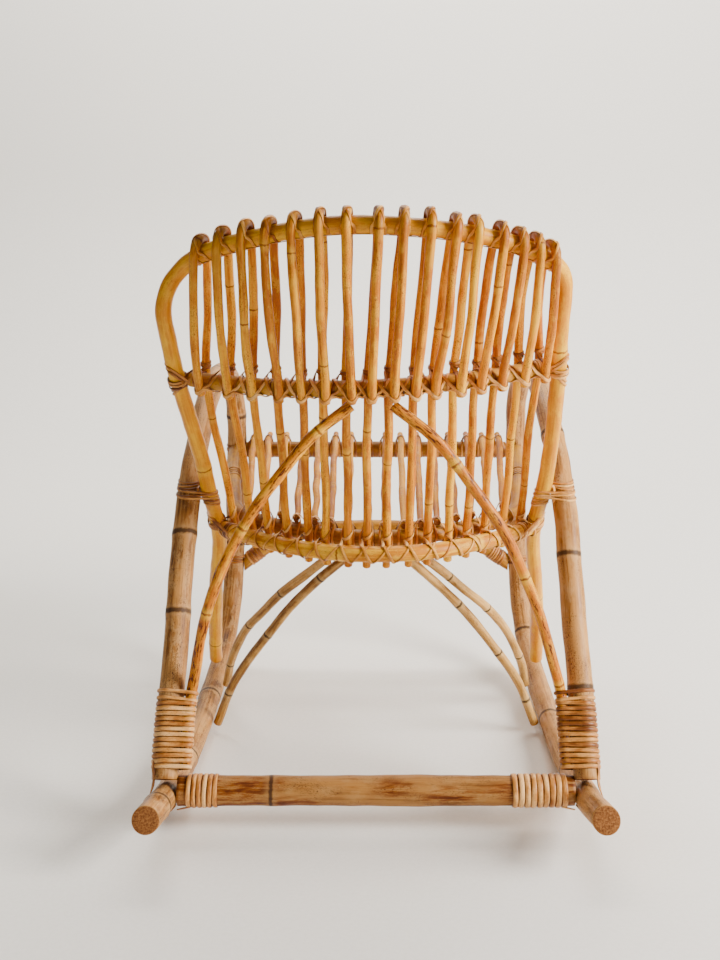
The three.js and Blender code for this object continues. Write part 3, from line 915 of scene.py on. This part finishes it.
def mid_rail_knots():
    """Peel drawn round each front leg just above the mid rail, its ends running down over the rail."""
    parts = Lashing(303)
    for rod, (place, on) in zip(BACK_RODS, leg_crossings(MID, "front")):
        up = np.sign(rod.heading(on)[2])
        back = rod.sides(on)[0]
        to_right, right = rightwards(MID, place)
        for k in range(2):
            spot = rod.at(on + up * (MID.radius + (2.4 + 3.6 * k) * MM))
            parts.bind([rod], spot, rod.heading(on), 4.2, 1.5, tilt=parts.vary(8, 22) * (-1) ** k)
        centre = rod.at(on + up * (MID.radius + 5 * MM))
        for way in (1, -1):
            stations = [on_rod(centre, back, right * way, rod.radius, turn, 1.0) for turn in (-60, 0, 55)]
            stations += [MID.round(place + way * to_right * reach * MM, angle, CLOSE)
                         for reach, angle in ((7.5, 78), (8.6, 45), (9.8, 12), (11.0, -20), (12.0, -60))]
            parts.tie(stations, 3.8)
    parts.done("mid_rail_knots", DARK_PEEL)


def lower_rail_lashings():
    """Straps run down the rear of the rail beside each front leg and back up to the next, with a short one
    across each leg above the rail."""
    parts = Lashing(304)
    short = Lashing(parts.rng)
    front = leg_crossings(LOW, "front")
    order, spacing = ordered(front)
    for i in order:
        rod, (place, on) = BACK_RODS[i], front[i]
        to_right, right = rightwards(LOW, place)
        reach = spacing * to_right * parts.vary(0.95, 1.05)
        up = np.sign(rod.heading(on)[2])
        back = rod.sides(on)[0]

        def rail(share, angle, lift=1.2):
            return LOW.round(place + share * reach, angle, lift)

        def leg(height, turn, lift=0.4):
            centre = rod.at(on + up * (LOW.radius + height * MM))
            return on_rod(centre, back, right, rod.radius, turn, lift)

        parts.tie([rail(share, angle, 0.2) for share, angle in (
            (0.14, -150), (0.18, -105), (0.28, -62), (0.42, -22), (0.58, 16), (0.72, 52), (0.84, 90),
            (0.9, 130))], 3.4, 1.0)
        parts.tie([rail(share, angle) for share, angle in (
            (-0.2, 165), (-0.2, 130), (-0.18, 95), (-0.13, 60), (-0.04, 22), (0.07, -18), (0.17, -58),
            (0.24, -98), (0.28, -145))], 4.4)
        short.tie([rail(-0.24, 70, 1.4), rail(-0.18, 84, 1.8), leg(0.5, -70, 1.6), leg(3.0, -25),
                   leg(6.5, 15), leg(10.0, 55), leg(12.0, 95), leg(12.5, 140)], 4.2)
    short.done("lower_rail_short_straps", PEEL)
    parts.done("lower_rail_lashings", GOLD_PEEL)


# ---- seat lashings ----


def seat_rod_ties(name, rail, seed, material):
    """Each seat rod is tied down where it lies on a rail: two straps cross over it and go round the rail."""
    parts = Lashing(seed)
    for rod in SEAT_RODS:
        place, on = crossing(rail, rod)
        ahead = rod.heading(on) * np.sign(rod.heading(on)[1])
        right = unit(rail.heading(place) - ahead * (rail.heading(place) @ ahead))
        above = np.cross(right, ahead)
        above = above if above[2] > 0 else -above
        for way in (1, -1):
            flank = (rod.radius + 2.2 * MM) * way
            stations = rail.around(place - flank, (-95, -50, -5, 35))
            for turn, shift in ((-82, 6.0), (-42, 3.4), (0, 0.0), (42, -3.4), (82, -6.0)):
                centre, lift = rod.at(on) + ahead * shift * MM, over(way, turn, 0.1, 1.1)
                stations.append(on_rod(centre, above, right * way, rod.radius, turn, lift))
            stations += rail.around(place + flank, (145, 185, 230, 265))
            parts.tie(stations, 4.0)
    parts.done(name, material)


# ---- wraps at the joints ----

FOOT_TURNS = 15
FOOT_PEEL = {"left": ROUND_PEEL, "right": WORN_PEEL}
JOINT_PEEL = {"left": DARK_PEEL, "right": PEEL}


def foot_wraps(side):
    """Close turns of cane that bind the brace to the rear post, the top two lying apart, and a sling round
    the runner's rear end."""
    parts = Lashing(310 + SIGNS[side])
    low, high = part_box(f"foot_binding_{side}")
    hoop, brace = HOOPS[side], BRACES[side]
    foot = hoop.line[hoop.line[:, 2] < 0.3]
    middle = foot[np.argmin(np.abs(foot[:, 2] - 0.5 * (low.z + high.z)) + (foot[:, 1] < low.y - 0.02))]
    along = hoop.heading(hoop.nearest(middle))
    along = along * np.sign(along[2])
    half = 0.5 * (high.z - low.z) - 2 * MM
    for i in range(FOOT_TURNS):
        loose = i >= FOOT_TURNS - 2
        height = -half + 2 * half * (i / (FOOT_TURNS - 1)) + (2.5 * MM if i == FOOT_TURNS - 1 else 0.0)
        thick = 1.9 + parts.vary(0, 0.5)
        parts.bind([hoop, brace], middle + along * height, along, 4.6 if loose else 5.7, thick,
                   tilt=4.5 * SIGNS[side] if loose else parts.vary(-1.5, 1.5))
    outer = SIGNS[side] * np.array([1.0, 0.0, 0.0])
    runner = hoop.line[len(hoop.line) // 2:]
    beneath = runner[np.argmin(np.abs(runner[:, 1] - hoop.line[0][1] - 15 * MM))]
    sling = []
    for lean, height, lift in ((0.75, 34, 2.2), (0.7, 20, 2.2), (0.7, 8, 0.4), (0.75, -1, 0.4)):
        normal = unit(outer * lean + REAR * 0.7)
        centre = hoop.at(hoop.nearest(hoop.line[0] + UP * max(height, 0) * MM)) + UP * min(height, 0) * MM
        sling.append((centre + normal * (hoop.radius + lift * MM), normal))
    for angle in (62, 90, 125, 165, 205, 245):
        sling.append(on_rod(beneath, UP, outer, hoop.radius, angle, 0.4))
    parts.tie(sling, 5.4, 1.6)
    parts.done(f"foot_wraps_{side}", FOOT_PEEL[side], [f"foot_binding_{side}"])


def crossbar_wraps(side, turns):
    """Close turns round the crossbar, and a strap that runs on from them along it to the post."""
    parts = Lashing(320 + turns)
    low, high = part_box(f"crossbar_binding_{side}")
    axis = CROSSBAR.line[0] * [0, 1, 1]
    right = np.array([1.0, 0.0, 0.0])
    pitch = (high.x - low.x) / turns
    for i in range(turns):
        spot = axis + right * (low.x + (i + 0.5) * pitch)
        parts.bind([CROSSBAR], spot, right, 0.94 * pitch / MM, 1.8 + parts.vary(0, 0.5),
                   tilt=parts.vary(-2.0, 2.0))
    sign = SIGNS[side]
    near = high.x if sign > 0 else low.x
    start = CROSSBAR.nearest(axis + right * (near - sign * 6 * MM))
    finish = CROSSBAR.nearest(axis + right * sign * (abs(near) + 22 * MM))
    stations = [CROSSBAR.round(start + (finish - start) * k / 5, -48 - 3 * k, 1.0 + 0.5 * k)
                for k in range(6)]
    parts.tie(stations, 5.0, 1.6)
    parts.done(f"crossbar_wraps_{side}", ROUND_PEEL, [f"crossbar_binding_{side}"])


def arm_lashings(side):
    """Cane turned round the side hoop and the back hoop together where they cross, and round each alone."""
    parts = Lashing(330 + SIGNS[side])
    hoop = HOOPS[side]
    rear_post = (hoop.line[:, 2] > 0.3) & (hoop.line[:, 2] < 0.47) & (hoop.line[:, 1] > 0)
    a, b = crossing(hoop, ARCH, ARCH.line[:, 0] * SIGNS[side] > 0, rear_post)
    middle = 0.5 * (hoop.at(a) + ARCH.at(b))
    for height, tilt in ((4.5, 3.0), (0.5, -2.0), (-3.5, 4.0)):
        parts.bind([hoop, ARCH], middle + UP * height * MM, UP, 3.4, 1.5, tilt=tilt)
    for k in range(3):
        spot = hoop.at(a) + UP * (8.5 + 3.4 * k) * MM
        parts.bind([hoop], spot, UP, 3.0, 1.4, tilt=parts.vary(-4, 4))
    for k in range(3):
        spot = ARCH.at(b) - UP * (8.5 + 3.6 * k) * MM
        parts.bind([ARCH], spot, UP, 3.2, 1.4, tilt=SIGNS[side] * parts.vary(6, 16))
    upright = [(middle + UP * height * MM + REAR * (hoop.radius * 0.72 + out * MM), REAR)
               for height, out in ((11, -6), (9, 2.5), (4.5, 3.2), (0, 3.4), (-5, 3.2), (-9, 2.0), (-11, -7))]
    parts.tie(upright, 3.6, 1.4)
    parts.done(f"arm_lashings_{side}", JOINT_PEEL[side])


def rail_end_ties(side):
    """Crossed straps that hold both bowed rails to the sides of the back hoop, and turns round the ends of
    the rails."""
    parts = Lashing(340 + SIGNS[side])
    sign = SIGNS[side]
    half = ARCH.line[ARCH.line[:, 0] * sign > 0]
    for rail, straps in ((MID, ((42, 2, 0.2), (-40, 2, 1.0))), (LOW, ((-38, 3, 1.0),))):
        end, inward = end_towards(rail, sign)
        anchor = half[np.argmin(norm(half - rail.at(end), axis=1))]
        middle = 0.5 * (anchor + rail.at(end + inward * 6 * MM))
        for lean, count, slack in straps:
            a = math.radians(lean)
            along = np.array([sign * math.sin(a), 0.0, math.cos(a)])
            for k in range(count):
                spot = middle + along * ((k - (count - 1) / 2) * 4.2 * MM)
                parts.bind([ARCH, rail], spot, along, 3.8, slack=slack)
        anchored = ARCH.nearest(anchor)
        parts.turns(ARCH, [anchored + (k - 1) * 4.4 * MM for k in range(3)], 3.8, 9, slack=1.6)
        parts.turns(rail, [end + inward * (13 + 4.0 * k) * MM for k in range(3)], 3.6, 9)
    parts.done(f"rail_end_ties_{side}", JOINT_PEEL[side])


def front_wraps(side):
    """Turns round the stretcher's end, the front rail's end, the front post beside them and the seat's
    side."""
    parts = Lashing(350 + SIGNS[side])
    sign = SIGNS[side]
    hoop = HOOPS[side]
    for rail, first, count, pitch in ((STRETCHER, 4, 6, 4.4), (FRONT, 5, 4, 4.2)):
        end, inward = end_towards(rail, sign)
        places = [end + inward * (first + k * pitch) * MM for k in range(count)]
        parts.turns(rail, places, pitch - 0.3, 4, 1.4)
        touch = hoop.nearest(rail.at(end))
        parts.turns(hoop, [touch + (k - 1) * 4.6 * MM for k in range(3)], 4.0, 8, 1.4)
    side_rail = SEAT.line[SEAT.line[:, 0] * sign > 0]
    front, rear = side_rail[:, 1].min(), side_rail[:, 1].max()
    for share in (0.3, 0.325, 0.35, 0.375):
        spot = side_rail[np.argmin(np.abs(side_rail[:, 1] - (front + share * (rear - front))))]
        parts.turns(SEAT, [SEAT.nearest(spot)], 4.0, 8)
    parts.done(f"front_wraps_{side}", DARK_PEEL)


top_lashings()
mid_rail_lashings()
mid_rail_knots()
lower_rail_lashings()
seat_rod_ties("seat_rear_ties", SEAT, 305, PEEL)
seat_rod_ties("seat_front_ties", FRONT, 306, DARK_PEEL)
for side, turns in (("left", 6), ("right", 9)):
    foot_wraps(side)
    crossbar_wraps(side, turns)
    arm_lashings(side)
    rail_end_ties(side)
    front_wraps(side)

# ---- stage, light and camera ----


def floor_material():
    n = Nodes("pale_floor")
    place = n.make("TexCoord").outputs["Object"]
    grain = n.noise(place, 180.0, 4, 0.6)
    colour = n.ramp(grain, [(0.3, srgb(232, 228, 220)), (0.7, srgb(238, 234, 227))])
    return n.done(colour, 0.9, n.bump(grain, 0.1, 0.0004), 0.2)


SHEET_REACH = 30.0  # metres to either side and behind the chair
CURVE_START, CURVE_RADIUS, CURVE_STEPS = -1.6, 0.9, 12  # where and how the floor bends up
SHEET_TOP = 4.5


def studio():
    """One sheet: a floor that curves up into a backdrop ahead of the chair."""
    profile = [(SHEET_REACH, 0.0), (CURVE_START, 0.0)]
    for i in range(1, CURVE_STEPS + 1):
        angle = math.pi / 2 * i / CURVE_STEPS
        profile.append((CURVE_START - CURVE_RADIUS * math.sin(angle), CURVE_RADIUS * (1 - math.cos(angle))))
    profile.append((CURVE_START - CURVE_RADIUS, SHEET_TOP))
    points = [(x, y, z) for y, z in profile for x in (-SHEET_REACH, SHEET_REACH)]
    faces = [(2 * i, 2 * i + 2, 2 * i + 3, 2 * i + 1) for i in range(len(profile) - 1)]
    mesh = bpy.data.meshes.new("studio_sheet")
    mesh.from_pydata(points, [], faces)
    mesh.polygons.foreach_set("use_smooth", np.ones(len(faces), bool))
    mesh.materials.append(floor_material())
    sheet = bpy.data.objects.new("studio_sheet", mesh)
    bpy.context.scene.collection.objects.link(sheet)


def soft_light(name, place, target, size, power, colour):
    light = bpy.data.lights.new(name, "AREA")
    light.shape = "RECTANGLE"
    light.size, light.size_y = size
    light.energy = power
    light.color = colour
    lamp = bpy.data.objects.new(name, light)
    lamp.location = place
    lamp.rotation_euler = (Vector(target) - Vector(place)).to_track_quat("-Z", "Y").to_euler()
    bpy.context.scene.collection.objects.link(lamp)


WARM_WHITE = (1.0, 0.985, 0.96)


def lights():
    """A large window on the chair's right, a weak fill behind the camera and a wash over the backdrop."""
    soft_light("window", (-2.8, 1.1, 1.5), (0, 0, 0.4), (1.4, 1.4), 285, (1.0, 0.975, 0.94))
    soft_light("fill", (2.0, 3.2, 1.6), (0, 0, 0.4), (2.2, 2.0), 9, (0.96, 0.98, 1.0))
    soft_light("backdrop", (0.0, -1.7, 3.2), (0, -2.4, 0.8), (3.0, 1.0), 162, WARM_WHITE)
    world = bpy.data.worlds.new("studio")
    world.use_nodes = True
    background = world.node_tree.nodes["Background"].inputs
    background["Color"].default_value = (*WARM_WHITE, 1)
    background["Strength"].default_value = 0.16
    bpy.context.scene.world = world


CAMERA_GAP, CAMERA_HEIGHT = 1.3175, 0.78  # behind the runners' ends and above the floor
DIP = 1 / 8  # slope of the view, and how far down the picture is shifted
SIDE_SHIFT = 1 / 60  # of the sensor's longer side


def camera():
    """Behind the chair at about a standing child's eye height, looking slightly down."""
    data = bpy.data.cameras.new("camera")
    data.lens, data.sensor_width, data.clip_end = 45, 36, 50
    data.shift_x, data.shift_y = -SIDE_SHIFT, -DIP
    cam = bpy.data.objects.new("camera", data)
    cam.location = (0.0, HOOPS["left"].line[:, 1].max() + CAMERA_GAP, CAMERA_HEIGHT)
    cam.rotation_euler = (math.pi / 2 - math.atan(DIP), 0, math.pi)
    bpy.context.scene.collection.objects.link(cam)
    bpy.context.scene.camera = cam


studio()
lights()
camera()
